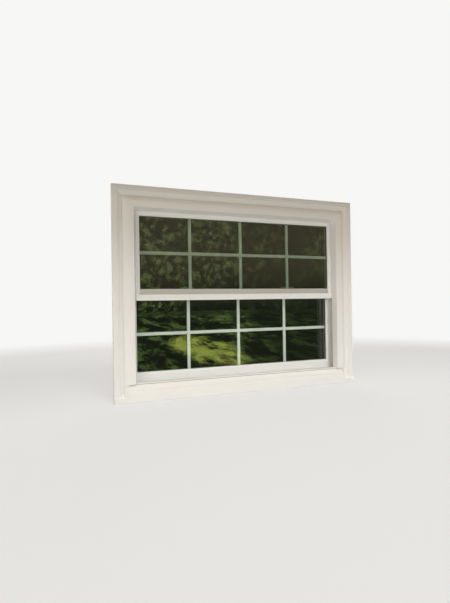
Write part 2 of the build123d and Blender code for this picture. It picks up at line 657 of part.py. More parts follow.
with BuildPart() as upper_meeting_rail:
    with BuildSketch(Plane.YZ):
        Polygon(
            (STRIP_FRONT, UPPER_BOTTOM), (STRIP_FRONT, STRIP_TOP - STRIP_EDGE),
            (STRIP_FRONT + STRIP_EDGE, STRIP_TOP),
            (BAND_BACK, STRIP_TOP), (BAND_BACK, REBATE_Z), (UPPER_SHELF, REBATE_Z),
            (UPPER_SHELF, MEETING_TOP), (UPPER_REAR, MEETING_TOP), (UPPER_REAR, UPPER_WEB),
            (LIP_FAR, UPPER_WEB), (LIP_FAR, LOWER_WEB - INTERLOCK_ROOM),
            (LIP_FAR + FIN, LOWER_WEB - INTERLOCK_ROOM), (LIP_FAR + FIN, UPPER_WEB - FIN),
            (UPPER_REAR, UPPER_WEB - FIN), (UPPER_REAR, UPPER_BOTTOM),
        )
        Polygon(
            *box_points(STRIP_FRONT + WALL, UPPER_BOTTOM + WALL, UPPER_MIDDLE - WALL, STRIP_TOP - WALL),
            mode=Mode.SUBTRACT,
        )
        Polygon(
            *box_points(UPPER_MIDDLE, UPPER_BOTTOM + WALL, UPPER_REAR - WALL, REBATE_Z - WALL),
            mode=Mode.SUBTRACT,
        )
    extrude(amount=UPPER_FLAT_X, both=True)
    with BuildSketch(Plane.YZ):
        Polygon(
            (STRIP_FRONT, UPPER_BOTTOM), (STRIP_FRONT, STRIP_TOP - STRIP_EDGE),
            (STRIP_FRONT + STRIP_EDGE, STRIP_TOP),
            (UPPER_FACE, STRIP_TOP), (UPPER_FACE, UPPER_BOTTOM),
        )
        Polygon(
            *box_points(STRIP_FRONT + WALL, UPPER_BOTTOM + WALL, UPPER_FACE, STRIP_TOP - WALL),
            mode=Mode.SUBTRACT,
        )
    extrude(amount=HALF_WIDTH - LEG_REACH - NOSE_CLEAR, both=True)
keep(upper_meeting_rail, "upper_meeting_rail")

# Lower sash

LOCK_Y = LOWER_FACE + LOCK_PIVOT_SET
HOUSING_CAVITY = CAM_LIFT + CAM_THICKNESS + CAM_ROOM
LOCK_SCREW_PLACES = [(-LOCK_SCREW_NEAR, LOCK_SCREW_SET), (LOCK_SCREW_FAR, LOCK_SCREW_SET)]


def lock_plane(side, lift=0.0):
    """A level plane on a lock's pivot, at a height above the rails."""
    return Plane(origin=(sign_of(side) * LOCK_PLACE, LOCK_Y, MEETING_TOP + lift))


with BuildPart() as lower_lock_rail:
    with BuildSketch(Plane.YZ):
        Polygon(
            (LOWER_FACE, LOCK_FLAT_Z), (LOWER_FACE, MEETING_TOP), (LOWER_REAR, MEETING_TOP),
            (LOWER_REAR, LOCK_SIGHT_Z + SHELF_BEVEL), (LOWER_REAR - SHELF_BEVEL, LOCK_SIGHT_Z),
            (LOWER_SHELF, LOCK_SIGHT_Z), (LOWER_SHELF, LOCK_FLAT_Z),
        )
        Polygon(
            *box_points(LOWER_FACE + WALL, LOCK_FLAT_Z + WALL, LOWER_MIDDLE - WALL / 2, LOCK_CHAMBER_TOP),
            mode=Mode.SUBTRACT,
        )
        Polygon(
            *box_points(LOWER_MIDDLE + WALL / 2, LOCK_FLAT_Z + WALL, LOWER_REAR - WALL, LOCK_CHAMBER_TOP),
            mode=Mode.SUBTRACT,
        )
    extrude(amount=LOWER_FLAT_X, both=True)
    with BuildSketch(Plane.YZ):
        Polygon(
            (LOWER_FACE, LOWER_WEB + FIN), (LIP_NEAR, LOWER_WEB + FIN), (LIP_NEAR, UPPER_WEB + INTERLOCK_ROOM),
            (LIP_NEAR + FIN, UPPER_WEB + INTERLOCK_ROOM), (LIP_NEAR + FIN, LOWER_WEB),
            (LOWER_FACE, LOWER_WEB),
        )
    extrude(amount=UPPER_FLAT_X, both=True)
    for side in SIDES:
        cut_latch_channel(side, LOWER_MIDDLE, MEETING_TOP)
        with BuildSketch(lock_plane(side)):
            with Locations(*LOCK_SCREW_PLACES):
                Circle(SCREW_RADIUS)
        extrude(amount=-LOCK_SCREW_REACH, mode=Mode.SUBTRACT)
keep(lower_lock_rail, "lower_lock_rail")

lower_bottom_blank = member(
    "bottom", sash_section(LOWER_FACE, LOWER_BOTTOM, BOTTOM_RAIL, False),
    [
        (-SASH_HALF, LOWER_BOTTOM), (SASH_HALF, LOWER_BOTTOM), (LOWER_FLAT_X, BOTTOM_FLAT_Z),
        (LOWER_SIGHT_X, BOTTOM_SIGHT_Z), (-LOWER_SIGHT_X, BOTTOM_SIGHT_Z), (-LOWER_FLAT_X, BOTTOM_FLAT_Z),
    ],
    sash_chambers(LOWER_FACE, LOWER_BOTTOM, BOTTOM_RAIL), (-LOWER_FLAT_X, LOWER_FLAT_X),
)
with BuildPart() as lower_bottom_rail:
    add(lower_bottom_blank.part)
    with BuildSketch(Plane.YZ):
        Polygon(
            (LOWER_REAR, LIFT_LEVEL), (LOWER_REAR + LIFT_REACH, LIFT_LEVEL),
            (LOWER_REAR + LIFT_REACH, LIFT_LEVEL + LIFT_LIP),
            (LOWER_REAR + LIFT_REACH - LIFT_THICKNESS, LIFT_LEVEL + LIFT_LIP),
            (LOWER_REAR + LIFT_REACH - LIFT_THICKNESS, LIFT_LEVEL + LIFT_THICKNESS),
            (LOWER_REAR, LIFT_LEVEL + LIFT_THICKNESS),
        )
    extrude(amount=LIFT_LENGTH / 2, both=True)
    for side in SIDES:
        cut_pivot_slot(side, LOWER_MIDDLE, LOWER_BOTTOM)
keep(lower_bottom_rail, "lower_bottom_rail")


# Glass units

def glass_unit(name, glass, sight_x, low_sight, high_sight):
    """Two panes on a spacer, with the grille of bars sealed between them."""
    width = 2 * (sight_x + BITE)
    height = high_sight - low_sight + 2 * BITE
    level = (low_sight + high_sight) / 2
    gap = glass + PANE
    for pane, front in (("outer", glass), ("inner", gap + AIR_SPACE)):
        with BuildPart() as piece:
            with BuildSketch(Plane.XZ.offset(-front)):
                with Locations((0, level)):
                    Rectangle(width, height)
            extrude(amount=-PANE)
        keep(piece, f"{name}_{pane}_pane")
    with BuildPart() as spacer:
        with BuildSketch(Plane.XZ.offset(-gap)):
            with Locations((0, level)):
                Rectangle(width, height)
                Rectangle(width - 2 * SPACER_WIDTH, height - 2 * SPACER_WIDTH, mode=Mode.SUBTRACT)
        extrude(amount=-AIR_SPACE)
    keep(spacer, f"{name}_spacer")
    inside_width = width - 2 * SPACER_WIDTH
    inside_height = height - 2 * SPACER_WIDTH
    with BuildPart() as grille:
        with BuildSketch(Plane.XZ.offset(-gap - (AIR_SPACE - BAR_THICKNESS) / 2)):
            with Locations((0, level)):
                Rectangle(inside_width, BAR_WIDTH)
                with Locations((-BAR_PITCH, 0), (0, 0), (BAR_PITCH, 0)):
                    Rectangle(BAR_WIDTH, inside_height)
        extrude(amount=-BAR_THICKNESS)
        for flat_face in (faces().sort_by(Axis.Y)[0], faces().sort_by(Axis.Y)[-1]):
            chamfer(flat_face.edges(), BAR_EDGE)
    keep(grille, f"{name}_grille")


glass_unit("upper", UPPER_GLASS, UPPER_SIGHT_X, MEETING_TOP, TOP_SIGHT_Z)
glass_unit("lower", LOWER_GLASS, LOWER_SIGHT_X, BOTTOM_SIGHT_Z, LOCK_SIGHT_Z)


# Glazing beads

def bead_section(face, flat):
    """A bead that falls back from the sash's face towards the glass."""
    sight = flat + BEAD_WIDTH
    return [
        (flat, face), (flat + BEAD_LAND, face), (sight, face + BEAD_FALL), (sight, face + BEAD_DEPTH),
        (flat, face + BEAD_DEPTH),
    ]


def bead_outline(edge, outer, inner):
    """A mitred bead between the two rectangles, each given as half width, bottom and top."""
    outer_x, outer_low, outer_high = outer
    inner_x, inner_low, inner_high = inner
    if edge == "top":
        return [(-outer_x, outer_high), (outer_x, outer_high), (inner_x, inner_high), (-inner_x, inner_high)]
    if edge == "bottom":
        return [(-outer_x, outer_low), (outer_x, outer_low), (inner_x, inner_low), (-inner_x, inner_low)]
    corners = [(outer_x, outer_low), (outer_x, outer_high), (inner_x, inner_high), (inner_x, inner_low)]
    return mirrored(corners, edge)


upper_outer = (UPPER_FLAT_X, STRIP_TOP, TOP_FLAT_Z)
upper_inner = (UPPER_SIGHT_X, STRIP_TOP, TOP_SIGHT_Z)
lower_outer = (LOWER_FLAT_X, BOTTOM_FLAT_Z, LOCK_FLAT_Z)
lower_inner = (LOWER_SIGHT_X, BOTTOM_SIGHT_Z, LOCK_SIGHT_Z)

top_bead = member(
    "top", bead_section(UPPER_FACE, FRAME_HEIGHT - TOP_FLAT_Z), bead_outline("top", upper_outer, upper_inner))
keep(top_bead, "upper_bead_top")
for side in SIDES:
    blank = member(
        side, bead_section(UPPER_FACE, UPPER_FLAT), bead_outline(side, upper_outer, upper_inner))
    with BuildPart() as side_bead:
        add(blank.part)
        cut_box((-HALF_WIDTH, BAND_BACK, STRIP_TOP), (HALF_WIDTH, UPPER_REAR, REBATE_Z))
    keep(side_bead, f"upper_bead_{side}")

with BuildPart() as upper_bead_bottom:
    with BuildSketch(Plane.YZ):
        Polygon(
            (BAND_FACE, STRIP_TOP), (BAND_FACE, MEETING_TOP - BAND_BEVEL),
            (BAND_FACE + BAND_BEVEL / 2, MEETING_TOP), (UPPER_GLASS, MEETING_TOP), (UPPER_GLASS, REBATE_Z),
            (BAND_BACK, REBATE_Z), (BAND_BACK, STRIP_TOP),
        )
        for groove in range(RIB_COUNT):
            level = STRIP_TOP + RIB_PITCH * (groove + 0.5)
            Polygon(
                *box_points(BAND_FACE - 1, level, BAND_FACE + RIB_GROOVE, level + RIB_GROOVE),
                mode=Mode.SUBTRACT,
            )
    extrude(amount=UPPER_SIGHT_X, both=True)
    for side in SIDES:
        low_x, high_x = spread(side, UPPER_SIGHT + NOTCH_PLACE, UPPER_SIGHT + NOTCH_PLACE + NOTCH_WIDTH)
        cut_box((low_x, BAND_FACE - 1, STRIP_TOP), (high_x, BAND_FACE + 2 * RIB_GROOVE, MEETING_TOP + 1))
keep(upper_bead_bottom, "upper_bead_bottom")

for edge, flat in (("top", FRAME_HEIGHT - LOCK_FLAT_Z), ("bottom", BOTTOM_FLAT_Z),
                   ("left", LOWER_FLAT), ("right", LOWER_FLAT)):
    lower_bead = member(edge, bead_section(LOWER_FACE, flat), bead_outline(edge, lower_outer, lower_inner))
    keep(lower_bead, f"lower_bead_{edge}")


# Weatherstrips, set in the grooves of the sash members

def pile_strip(edge, inset, low, high, start, end):
    """One pile strip along an edge, as a box from its groove to just short of the leg."""
    corners = across(edge, box_points(inset, low, inset + PILE_WIDTH, high))
    with BuildSketch(plane_across(edge).offset(start)) as strip:
        Polygon(*corners)
    extrude(strip.sketch, amount=end - start)


PILE_OUT = LEG_GAP - PILE_GAP
with BuildPart() as upper_weatherstrip:
    low_y = UPPER_FACE - PILE_OUT
    high_y = UPPER_FACE + PILE_SET_IN
    pile_top = UPPER_TOP - PILE_FROM_EDGE - PILE_WIDTH
    for side in SIDES:
        pile_strip(side, SASH_EDGE + PILE_FROM_EDGE, low_y, high_y, UPPER_BOTTOM, pile_top)
    pile_end = SASH_HALF - PILE_FROM_EDGE - 2 * PILE_WIDTH
    pile_strip("top", FRAME_HEIGHT - UPPER_TOP + PILE_FROM_EDGE, low_y, high_y, -pile_end, pile_end)
keep(upper_weatherstrip, "upper_weatherstrip")

with BuildPart() as lower_weatherstrip:
    low_y = LOWER_REAR - PILE_SET_IN
    high_y = LOWER_REAR + PILE_OUT
    pile_bottom = LOWER_BOTTOM + (PILE_FROM_EDGE + PILE_WIDTH) * BOTTOM_RAIL / LOWER_STILE
    for side in SIDES:
        pile_strip(side, SASH_EDGE + PILE_FROM_EDGE, low_y, high_y, pile_bottom, MEETING_TOP)
    pile_strip("bottom", LOWER_BOTTOM + PILE_FROM_EDGE, low_y, high_y, -pile_end, pile_end)
keep(lower_weatherstrip, "lower_weatherstrip")


# Spiral balances

POCKET_MIDDLE_INSET = POCKET_BACK + POCKET_DEPTH / 2
PLUG_INSET = POCKET_MIDDLE_INSET + TUBE_RADIUS + PLUG_EXTRA


def shoe(side, middle, bottom):
    """The block that runs in a balance pocket and carries the sash on its pivot bar."""
    base = bottom + PIVOT_ABOVE_EDGE - SHOE_BELOW_BAR
    low_x, high_x = spread(side, POCKET_BACK + SHOE_CLEAR, POCKET_BACK + POCKET_DEPTH - SHOE_CLEAR)
    bar_low, bar_high = spread(side, JAMB_FLOOR - PIVOT_IN_SHOE - FIT, POCKET_BACK + POCKET_DEPTH)
    level = bottom + PIVOT_ABOVE_EDGE
    with BuildPart() as piece:
        with BuildSketch(Plane.XY.offset(base)):
            with Locations(((low_x + high_x) / 2, middle)):
                RectangleRounded(high_x - low_x, POCKET_WIDTH - 2 * SHOE_CLEAR, SMALL_ROUND)
        extrude(amount=SHOE_HEIGHT)
        cut_box(
            (bar_low, middle - PIVOT_WIDTH / 2 - FIT, level - PIVOT_THICKNESS / 2 - FIT),
            (bar_high, middle + PIVOT_WIDTH / 2 + FIT, level + PIVOT_THICKNESS / 2 + FIT),
        )
    return piece


def spiral_rod(side, middle, base):
    """The twisted strip that stands on a shoe and turns into its tube."""
    centre = Vector(sign_of(side) * (HALF_WIDTH - POCKET_MIDDLE_INSET), middle, base)
    with BuildSketch(Plane.XY.offset(base)) as strip:
        with Locations((centre.X, centre.Y)):
            Rectangle(ROD_WIDTH, ROD_THICKNESS)
    with BuildPart() as piece:
        add(Solid.extrude_linear_with_rotation(
            strip.sketch.face(), centre, Vector(0, 0, ROD_LENGTH), 360 * ROD_LENGTH / ROD_TWIST))
    return piece


def balance_tube(side, middle, low):
    """The fixed tube of a balance, with the plug that its screw goes through."""
    sign = sign_of(side)
    top = FRAME_HEIGHT - TUBE_TOP
    centre_x = sign * (HALF_WIDTH - POCKET_MIDDLE_INSET)
    plug_low, plug_high = spread(side, POCKET_BACK, PLUG_INSET)
    screw_plane = Plane(
        origin=(sign * (HALF_WIDTH - PLUG_INSET), middle, top - PLUG_HEIGHT / 2),
        x_dir=(0, 1, 0), z_dir=(-sign, 0, 0),
    )
    with BuildPart() as piece:
        with BuildSketch(Plane.XY.offset(low)):
            with Locations((centre_x, middle)):
                Circle(TUBE_RADIUS)
                Circle(TUBE_BORE, mode=Mode.SUBTRACT)
        extrude(amount=top - low - PLUG_HEIGHT)
        with BuildSketch(Plane.XY.offset(top - PLUG_HEIGHT)):
            with Locations(((plug_low + plug_high) / 2, middle)):
                Rectangle(plug_high - plug_low, 2 * TUBE_RADIUS)
        extrude(amount=PLUG_HEIGHT)
        with Locations(screw_plane):
            CounterBoreHole(SCREW_RADIUS, SCREW_HEAD_RADIUS, SCREW_HEAD)
    return piece


balance_spots = []
for name, middle, bottom, travel in (
    ("upper", UPPER_MIDDLE, UPPER_BOTTOM, 0.0), ("lower", LOWER_MIDDLE, LOWER_BOTTOM, TRAVEL),
):
    shoe_top = bottom + PIVOT_ABOVE_EDGE - SHOE_BELOW_BAR + SHOE_HEIGHT
    for side in SIDES:
        keep(shoe(side, middle, bottom), f"{name}_shoe_{side}")
        keep(spiral_rod(side, middle, shoe_top), f"{name}_spiral_rod_{side}")
        keep(balance_tube(side, middle, shoe_top + travel + TUBE_CLEAR), f"{name}_balance_tube_{side}")
        balance_spots.append((side, middle))
    with BuildPart() as pivot_bars:
        for side in SIDES:
            low_x, high_x = spread(side, JAMB_FLOOR - PIVOT_IN_SHOE, SASH_EDGE + PIVOT_IN_SASH - FIT)
            with Locations(((low_x + high_x) / 2, middle, bottom + PIVOT_ABOVE_EDGE)):
                Box(high_x - low_x, PIVOT_WIDTH, PIVOT_THICKNESS)
    keep(pivot_bars, f"{name}_pivot_bars")

with BuildPart() as balance_screws:
    for side, middle in balance_spots:
        sign = sign_of(side)
        level = FRAME_HEIGHT - TUBE_TOP - PLUG_HEIGHT / 2
        head_plane = Plane(
            origin=(sign * (HALF_WIDTH - PLUG_INSET), middle, level), x_dir=(0, 1, 0), z_dir=(sign, 0, 0))
        with BuildSketch(head_plane):
            Circle(SCREW_HEAD_RADIUS)
        extrude(amount=SCREW_HEAD)
        with BuildSketch(head_plane.offset(SCREW_HEAD)):
            Circle(SCREW_RADIUS)
        extrude(amount=PLUG_INSET - SCREW_HEAD - SCREW_TIP)
keep(balance_screws, "balance_screws")


# Tilt latches

def tilt_latch(side, middle, top):
    """A sprung bolt that slides in the sash's top, with its finger button."""
    sign = sign_of(side)
    floor = top - LATCH_THICKNESS - SEAT_GAP
    nose_tip = SASH_EDGE - LATCH_THROW
    nose_root = LATCH_INNER - LATCH_LENGTH

    def at(inset, depth):
        return sign * (HALF_WIDTH - inset), middle + depth

    with BuildPart() as piece:
        with BuildSketch(Plane.XY.offset(floor)):
            Polygon(
                at(nose_tip, -NOSE_WIDTH / 2 + NOSE_EDGE), at(nose_tip + NOSE_TAPER, -NOSE_WIDTH / 2),
                at(nose_root, -NOSE_WIDTH / 2), at(nose_root, -LATCH_WIDTH / 2),
                at(LATCH_INNER, -LATCH_WIDTH / 2), at(LATCH_INNER, LATCH_WIDTH / 2),
                at(nose_root, LATCH_WIDTH / 2), at(nose_root, NOSE_WIDTH / 2),
                at(nose_tip + NOSE_TAPER, NOSE_WIDTH / 2), at(nose_tip, NOSE_WIDTH / 2 - NOSE_EDGE),
            )
        extrude(amount=LATCH_THICKNESS)
        with BuildSketch(Plane.XY.offset(floor + LATCH_THICKNESS)):
            with Locations(at(LATCH_INNER - BUTTON_LENGTH, 0)):
                RectangleRounded(BUTTON_LENGTH, NOSE_WIDTH, SMALL_ROUND)
        extrude(amount=BUTTON_HEIGHT)
    return piece


for side in SIDES:
    keep(tilt_latch(side, UPPER_MIDDLE, UPPER_TOP), f"upper_latch_{side}")
    keep(tilt_latch(side, LOWER_MIDDLE, MEETING_TOP), f"lower_latch_{side}")


# Sash locks

def lock_housing(side):
    """The cast housing over the cam, open towards the other sash."""
    left = -LOCK_SCREW_NEAR - LOCK_END
    right = LOCK_SCREW_FAR + LOCK_END
    front = LOCK_FRONT - LOCK_PIVOT_SET
    rear = front + LOCK_WIDTH
    with BuildPart() as piece:
        with BuildSketch(lock_plane(side)):
            with Locations(((left + right) / 2, (front + rear) / 2)):
                RectangleRounded(right - left, rear - front, HOUSING_ROUND)
        extrude(amount=LOCK_HEIGHT)
        fillet(piece.faces().sort_by(Axis.Z)[-1].edges(), HOUSING_EDGE)
        with BuildSketch(lock_plane(side)):
            Polygon(*box_points(
                -CAM_HUB - LOCK_WALL, front - 1, CAM_RADIUS + LOCK_WALL, rear - LOCK_WALL))
        extrude(amount=HOUSING_CAVITY, mode=Mode.SUBTRACT)
        with BuildSketch(lock_plane(side)):
            Circle(SPINDLE + SPINDLE_FIT)
            with Locations(*LOCK_SCREW_PLACES):
                Circle(SCREW_RADIUS)
        extrude(amount=LOCK_HEIGHT, mode=Mode.SUBTRACT)
        with BuildSketch(lock_plane(side, LOCK_HEIGHT - SCREW_HEAD)):
            with Locations(*LOCK_SCREW_PLACES):
                Circle(SCREW_HEAD_RADIUS)
        extrude(amount=SCREW_HEAD, mode=Mode.SUBTRACT)
    return piece


def lock_cam(side):
    """The crescent cam on its spindle, with the lever above the housing, in the open position."""
    with BuildPart() as piece:
        with BuildSketch(lock_plane(side, CAM_LIFT)):
            with BuildLine():
                CenterArc((0, 0), CAM_RADIUS, CRESCENT_START, CRESCENT_SWEEP)
                CenterArc((0, 0), CAM_RADIUS - CAM_RIM, CRESCENT_START, CRESCENT_SWEEP)
                for turn in (CRESCENT_START, CRESCENT_START + CRESCENT_SWEEP):
                    across_turn = Vector(cos(radians(turn)), sin(radians(turn)))
                    Line(across_turn * (CAM_RADIUS - CAM_RIM), across_turn * CAM_RADIUS)
            make_face()
            Circle(CAM_HUB)
            arm_length = CAM_RADIUS - CAM_RIM / 2
            with PolarLocations(arm_length / 2, 1, start_angle=CRESCENT_START + CRESCENT_SWEEP - ARM_BACK):
                Rectangle(arm_length, ARM_WIDTH)
        extrude(amount=CAM_THICKNESS)
        with BuildSketch(lock_plane(side, SPINDLE_FIT)):
            Circle(SPINDLE)
        extrude(amount=LOCK_HEIGHT + SEAT_GAP - SPINDLE_FIT)
        with BuildSketch(lock_plane(side, LOCK_HEIGHT + SEAT_GAP)):
            Circle(CAM_HUB + LOCK_WALL)
            with PolarLocations(LEVER_LENGTH - CAM_HUB / 2, 1, start_angle=CAM_SWING):
                Circle(CAM_HUB / 2)
            make_hull()
        extrude(amount=LEVER_THICKNESS)
        fillet(piece.faces().sort_by(Axis.Z)[-1].edges(), LEVER_EDGE)
    return piece


def keeper(side):
    """The keeper plate on the upper meeting rail, with the post that the crescent hooks behind."""
    post_front = LOCK_Y - CAM_RADIUS + CAM_RIM + KEEPER_CLEAR
    plate_low = UPPER_REAR - KEEPER_WIDTH
    place = sign_of(side) * LOCK_PLACE
    with BuildPart() as piece:
        with BuildSketch(Plane.XY.offset(MEETING_TOP)):
            with Locations((place, (plate_low + UPPER_REAR) / 2)):
                RectangleRounded(KEEPER_LENGTH, KEEPER_WIDTH, SMALL_ROUND)
        extrude(amount=KEEPER_PLATE)
        with BuildSketch(Plane.XY.offset(MEETING_TOP + KEEPER_PLATE)):
            Polygon(*box_points(place - KEEPER_POST / 2, post_front, place + KEEPER_POST / 2, UPPER_REAR - FIT))
        extrude(amount=KEEPER_POST_HEIGHT)
    return piece


for side in SIDES:
    keep(lock_housing(side), f"lock_housing_{side}")
    keep(lock_cam(side), f"lock_cam_{side}")
    keep(keeper(side), f"keeper_{side}")

with BuildPart() as lock_screws:
    for side in SIDES:
        with BuildSketch(lock_plane(side, LOCK_HEIGHT - SCREW_HEAD)):
            with Locations(*LOCK_SCREW_PLACES):
                Circle(SCREW_HEAD_RADIUS)
        extrude(amount=SCREW_HEAD)
        with BuildSketch(lock_plane(side, -LOCK_SCREW_REACH)):
            with Locations(*LOCK_SCREW_PLACES):
                Circle(SCREW_RADIUS)
        extrude(amount=LOCK_SCREW_REACH + LOCK_HEIGHT - SCREW_HEAD)
keep(lock_screws, "lock_screws")
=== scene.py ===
import json
from math import cos, radians, sin

import bpy
from mathutils import Matrix, Vector


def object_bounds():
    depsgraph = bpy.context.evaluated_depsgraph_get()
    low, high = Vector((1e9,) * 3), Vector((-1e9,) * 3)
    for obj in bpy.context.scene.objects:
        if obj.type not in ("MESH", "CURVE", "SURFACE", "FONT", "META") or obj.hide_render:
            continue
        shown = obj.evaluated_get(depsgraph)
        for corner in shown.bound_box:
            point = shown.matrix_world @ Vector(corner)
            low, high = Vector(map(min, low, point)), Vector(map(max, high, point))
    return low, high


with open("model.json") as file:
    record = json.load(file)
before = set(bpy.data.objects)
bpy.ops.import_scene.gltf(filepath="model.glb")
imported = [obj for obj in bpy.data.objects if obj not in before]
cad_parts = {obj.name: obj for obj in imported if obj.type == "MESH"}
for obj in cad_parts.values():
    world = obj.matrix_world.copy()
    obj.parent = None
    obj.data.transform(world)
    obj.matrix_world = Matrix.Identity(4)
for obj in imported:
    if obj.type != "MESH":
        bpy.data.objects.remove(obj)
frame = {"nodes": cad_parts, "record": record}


def plain(box):
    """A box as plain lists of numbers."""
    return [[float(number) for number in corner] for corner in box]


cad_box = plain(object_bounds())
scene = bpy.context.scene
scene.view_settings.view_transform = "Standard"


# Node helpers

def tree_of(name):
    """A new node material, its tree, its shader and its object coordinates."""
    material = bpy.data.materials.new(name)
    material.use_nodes = True
    tree = material.node_tree
    shader = tree.nodes["Principled BSDF"]
    place = tree.nodes.new("ShaderNodeTexCoord").outputs["Object"]
    return material, tree, shader, place


def feed(tree, socket, value):
    """Link another socket to a socket, or set its plain value."""
    if isinstance(value, bpy.types.NodeSocket):
        tree.links.new(value, socket)
    else:
        socket.default_value = value


def linked(tree, kind, **inputs):
    """A new node with its named inputs set, or linked where a socket is given."""
    node = tree.nodes.new(kind)
    for key, value in inputs.items():
        feed(tree, node.inputs[key.replace("_", " ")], value)
    return node


def worked(tree, kind, operation, values):
    """A new maths or vector maths node that does an operation on values in order."""
    node = tree.nodes.new(kind)
    node.operation = operation
    for value, socket in zip(values, node.inputs):
        feed(tree, socket, value)
    return node


def multiply(tree, first, second):
    """The product of two values."""
    return worked(tree, "ShaderNodeMath", "MULTIPLY", (first, second)).outputs[0]


def either(tree, *values):
    """The highest of several values."""
    highest = values[0]
    for value in values[1:]:
        highest = worked(tree, "ShaderNodeMath", "MAXIMUM", (highest, value)).outputs[0]
    return highest


def measure(tree, operation, *vectors):
    """The number that an operation gives for one or two vectors."""
    return worked(tree, "ShaderNodeVectorMath", operation, vectors).outputs["Value"]


def noise(tree, place, scale, detail=4.0, roughness=0.55, stretch=(1, 1, 1)):
    """Noise over the row frame, with its waves per metre, stretched along an axis for streaks and grain."""
    stretched = linked(tree, "ShaderNodeMapping", Vector=place, Scale=stretch).outputs[0]
    node = linked(
        tree, "ShaderNodeTexNoise", Vector=stretched, Scale=scale, Detail=detail, Roughness=roughness)
    return node.outputs["Fac"]


def ramp(tree, fac, low, high, start=0.0, end=1.0):
    """Turn the part of a value between low and high into start to end."""
    node = linked(
        tree, "ShaderNodeMapRange", Value=fac, From_Min=low, From_Max=high, To_Min=start, To_Max=end)
    return node.outputs["Result"]


def fall(tree, fac, low, high):
    """One up to low, falling to nothing at high."""
    return ramp(tree, fac, low, high, 1.0, 0.0)


def blend(tree, fac, first, second):
    """Mix two colours, each a triple or a socket, by fac."""
    node = tree.nodes.new("ShaderNodeMix")
    node.data_type = "RGBA"
    feed(tree, node.inputs[0], fac)
    for colour, socket in ((first, node.inputs[6]), (second, node.inputs[7])):
        feed(tree, socket, colour if isinstance(colour, bpy.types.NodeSocket) else (*colour, 1))
    return node.outputs[2]


def mixed(tree, fac, first, second):
    """Mix two shaders by fac into the material's surface."""
    mixer = linked(tree, "ShaderNodeMixShader", Fac=fac)
    tree.links.new(first.outputs[0], mixer.inputs[1])
    tree.links.new(second.outputs[0], mixer.inputs[2])
    tree.links.new(mixer.outputs[0], tree.nodes["Material Output"].inputs["Surface"])


# Materials. A range is the stretch of a noise over which its effect comes in, and a share is a part of one.

BUMP_DEPTH = 0.001
FULL_RANGE = (0.3, 0.7)         # nearly all of a noise's values


def bump(tree, shader, height, strength):
    """Bumps on a shader, of a height at a strength."""
    node = linked(tree, "ShaderNodeBump", Height=height, Strength=strength, Distance=BUMP_DEPTH)
    tree.links.new(node.outputs[0], shader.inputs["Normal"])


def scaled(colour, factor):
    """A colour made lighter or darker, up to full white."""
    return [min(1.0, channel * factor) for channel in colour]


# White vinyl
# The colour of grime, used also for painted shade in joints and corners and under the sill's lip.
GRIME_AND_SHADE = (0.30, 0.27, 0.19)
CLOUDS = {"scale": 3.0}
CLOUD_RANGE = (0.35, 0.70)
CLOUD_SHADE = 0.97
STREAKS = {"scale": 5.0, "detail": 5.0, "roughness": 0.6, "stretch": (5.0, 5.0, 0.5)}
STREAK_RANGE = (0.60, 0.80)
STREAK_SHARE = 0.35
DUST_FACING = (0.80, 1.0)       # how far a surface faces up where dust lies
DUST_SHARES = (0.2, 1.0)        # outside a cloud and in it
SPECKS = {"scale": 190.0, "detail": 3.0}
SPECK_RANGE = (0.73, 0.80)
SPECK_SHARE = 0.4
# Darkening where ambient occlusion finds a joint or corner: partly grime, partly painted shade.
CREVICE_REACH = 0.005
CREVICE_SAMPLES = 6
CREVICE_OPEN = (0.35, 0.85)     # how open a crevice is, from full grime to none
CREVICE_SHARE = 1.2
# A painted shadow line under the sill's lip, which also stands for grime in the joint.
LIP_UNDER, LIP_MIDDLE, LIP_OVER = 0.0315, 0.0340, 0.0375    # heights of the joint under the sill's lip
LIP_FRONT = (-0.006, -0.008)    # the depth at which the joint's line comes in
LIP_ENDS = (0.630, 0.632)       # half the joint's length, where its line goes out
LIP_SHARE = 0.85
VINYL_ROUGH = (0.34, 0.46)
VINYL_SPECULAR = 0.45
VINYL_PEEL = {"scale": 420.0, "detail": 2.0}
VINYL_BUMP = 0.05


def facing_up(tree):
    """How far a surface faces up, from -1 to 1."""
    normal = tree.nodes.new("ShaderNodeTexCoord").outputs["Normal"]
    return linked(tree, "ShaderNodeSeparateXYZ", Vector=normal).outputs["Z"]


def crevice(tree):
    """How deep in a joint or corner a point lies, from 0 in the open to 1."""
    shelter = linked(tree, "ShaderNodeAmbientOcclusion", Distance=CREVICE_REACH)
    shelter.samples = CREVICE_SAMPLES
    return fall(tree, shelter.outputs["AO"], *CREVICE_OPEN)


def lip_shadow_and_grime(tree, place):
    """A painted shadow line under the sill's lip, also standing for grime in the joint, between the side
    casings.
    """
    parts = linked(tree, "ShaderNodeSeparateXYZ", Vector=place).outputs
    across = worked(tree, "ShaderNodeMath", "ABSOLUTE", (parts["X"],)).outputs[0]
    line = multiply(
        tree, ramp(tree, parts["Z"], LIP_UNDER, LIP_MIDDLE), fall(tree, parts["Z"], LIP_MIDDLE, LIP_OVER))
    line = multiply(tree, line, ramp(tree, parts["Y"], *LIP_FRONT))
    return multiply(tree, line, fall(tree, across, *LIP_ENDS))


